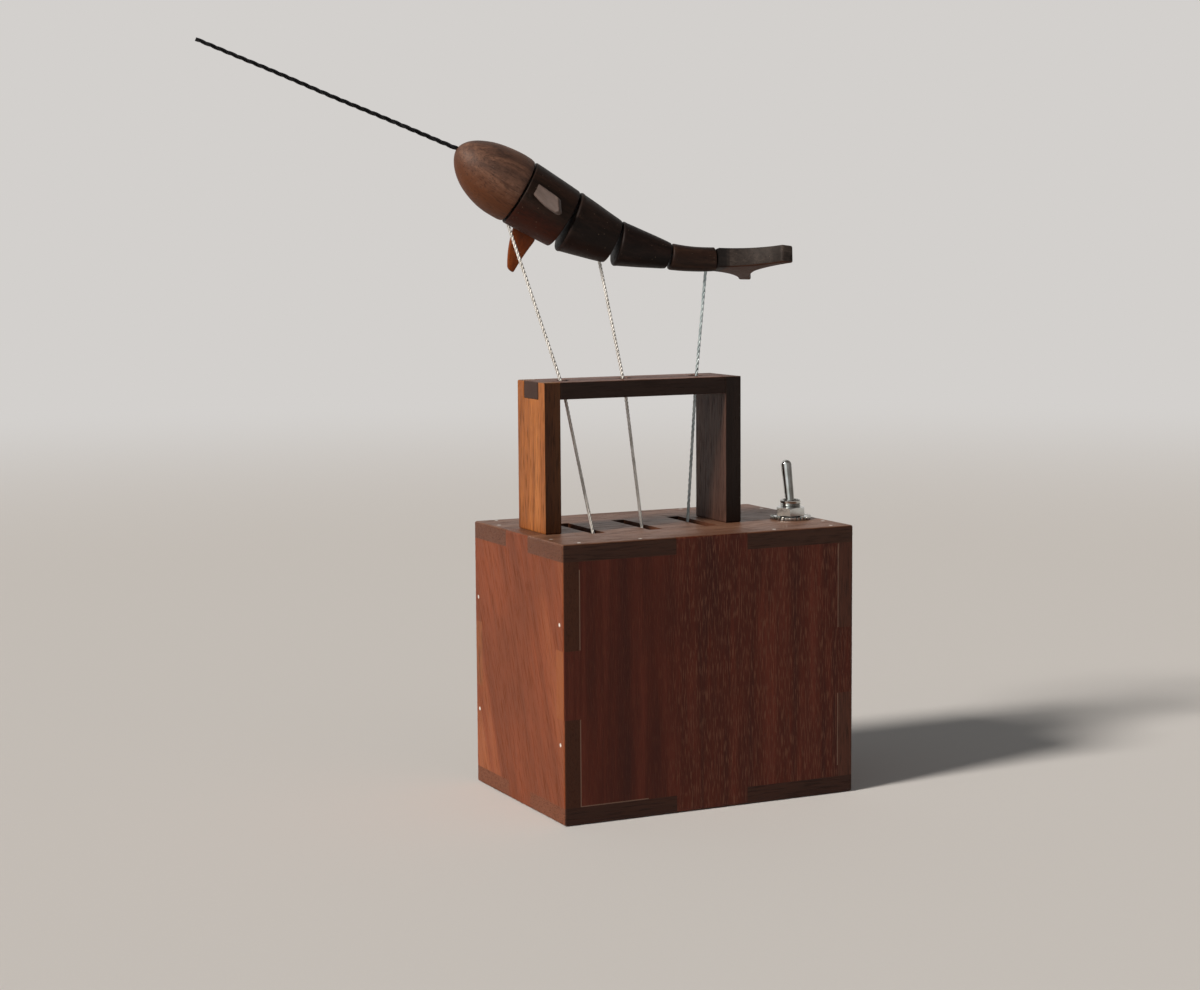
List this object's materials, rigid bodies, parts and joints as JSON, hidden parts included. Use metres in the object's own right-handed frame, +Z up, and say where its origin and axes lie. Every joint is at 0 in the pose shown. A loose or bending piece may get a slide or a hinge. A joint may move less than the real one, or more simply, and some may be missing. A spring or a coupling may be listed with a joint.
{
  "type": "wooden desk automaton",
  "caption": "Walnut desk automaton: a jointed narwhal rides on twisted wires through a bridge on a finger jointed box; a switched gear motor turns a crankshaft inside.",
  "frame": {"origin": "middle of the case's footprint on the table", "axes": "+Z up, +X to the right along the case's front, +Y to the back; the narwhal's nose points to -X"},
  "size_m": [0.171, 0.0612, 0.2133],
  "materials": {
    "oiled_walnut": "oiled, satin",
    "dark_walnut": "oiled, hand carved",
    "flipper_wood": "oiled, satin",
    "black_wire": "blackened twisted wire",
    "steel_wire": "drawn steel wire",
    "plated_steel": "bright plated",
    "steel": "bare steel",
    "brass": "bare brass",
    "spring_steel": "nickel plated",
    "beech": "unfinished",
    "black_plastic": "moulded",
    "cell_wrap": "plain printed sleeve",
    "canvas": "glued canvas",
    "red_insulation": "soft insulation",
    "black_insulation": "soft insulation"
  },
  "bodies": {
    "case": {"case_front": "oiled_walnut", "case_back": "oiled_walnut", "case_left": "oiled_walnut", "case_right": "oiled_walnut", "case_bottom": "oiled_walnut", "case_top": "oiled_walnut", "bridge_post_left": "oiled_walnut", "bridge_post_right": "oiled_walnut", "bridge_bar": "oiled_walnut", "panel_pins": "steel", "bearing_block": "beech", "bearing_bush": "brass", "motor_gearbox": "brass", "motor_can": "steel", "motor_cap": "black_plastic", "motor_tabs": "brass", "motor_pedestal": "beech", "motor_strap": "steel", "strap_screws": "steel", "battery_tray": "black_plastic", "battery_cells": "cell_wrap", "battery_contacts": "spring_steel", "tray_screws": "steel", "switch_body": "black_plastic", "switch_terminals": "brass", "switch_bushing": "plated_steel", "switch_washer": "plated_steel", "switch_nut": "plated_steel", "lead_battery_switch": "red_insulation", "lead_switch_motor": "red_insulation", "lead_battery_motor": "black_insulation"},
    "crank": {"crankshaft": "steel_wire", "thrust_collar": "brass", "arm_grub_screw": "steel", "crank_arm": "brass", "wire_loop_front": "steel_wire", "wire_loop_middle": "steel_wire", "wire_loop_rear": "steel_wire", "motor_shaft": "steel"},
    "switch_lever": {"switch_lever": "plated_steel"},
    "swimmer": {"belly": "dark_walnut", "wire_middle": "steel_wire", "hip_strip": "canvas"},
    "chest": {"chest": "dark_walnut", "flipper_near": "flipper_wood", "flipper_far": "flipper_wood", "neck_strip": "canvas", "waist_strip": "canvas"},
    "head": {"head": "dark_walnut", "tusk": "black_wire"},
    "wire_front": {"wire_front": "steel_wire"},
    "haunch": {"haunch": "dark_walnut", "tail_strip": "canvas"},
    "tail": {"tail_stock": "dark_walnut", "fluke": "dark_walnut"},
    "wire_rear": {"wire_rear": "steel_wire"}
  },
  "joints": [
    {"name": "crank_spin", "type": "hinge", "parent": "case", "child": "crank", "pos_m": [0, 0, 0.0405], "axis": [1, 0, 0], "continuous": true},
    {"name": "switch_throw", "type": "hinge", "parent": "case", "child": "switch_lever", "pos_m": [0.0372, -0.0095, 0.0804], "axis": [1, 0, 0], "range_deg": [0, 23]},
    {"name": "body_sway", "type": "hinge", "parent": "case", "child": "swimmer", "pos_m": [0, 0, 0.1167], "axis": [1, 0, 0], "range_deg": [-1.5, 10]},
    {"name": "chest_pitch", "type": "hinge", "parent": "swimmer", "child": "chest", "pos_m": [-0.02338, 0.00615, 0.16958], "axis": [0.226, 0.9741, 0], "range_deg": [-5.5, 6]},
    {"name": "head_nod", "type": "hinge", "parent": "chest", "child": "head", "pos_m": [-0.03581, 0.00903, 0.17788], "axis": [0.226, 0.9741, 0], "range_deg": [-2, 6]},
    {"name": "haunch_pitch", "type": "hinge", "parent": "swimmer", "child": "haunch", "pos_m": [-0.01137, 0.00336, 0.16121], "axis": [0.226, 0.9741, 0], "range_deg": [-5, 6]},
    {"name": "tail_pitch", "type": "hinge", "parent": "haunch", "child": "tail", "pos_m": [0.00303, 0.00002, 0.15479], "axis": [0.226, 0.9741, 0], "range_deg": [-2.2, 2.6]},
    {"name": "wire_front_swing", "type": "hinge", "parent": "chest", "child": "wire_front", "pos_m": [-0.0425, 0.01059, 0.16252], "axis": [0.226, 0.9741, 0], "range_deg": [-6.2, 5.7]},
    {"name": "wire_rear_swing", "type": "hinge", "parent": "tail", "child": "wire_rear", "pos_m": [0.01322, -0.00234, 0.1489], "axis": [0.226, 0.9741, 0], "range_deg": [-9.8, 8.2]}
  ],
  "couplings": [
    {"joint": "tail_pitch", "follows": "haunch_pitch", "ratio": 0.35},
    {"joint": "wire_front_swing", "follows": "chest_pitch", "ratio": -1},
    {"joint": "wire_rear_swing", "follows": "haunch_pitch", "ratio": -1.57}
  ]
}
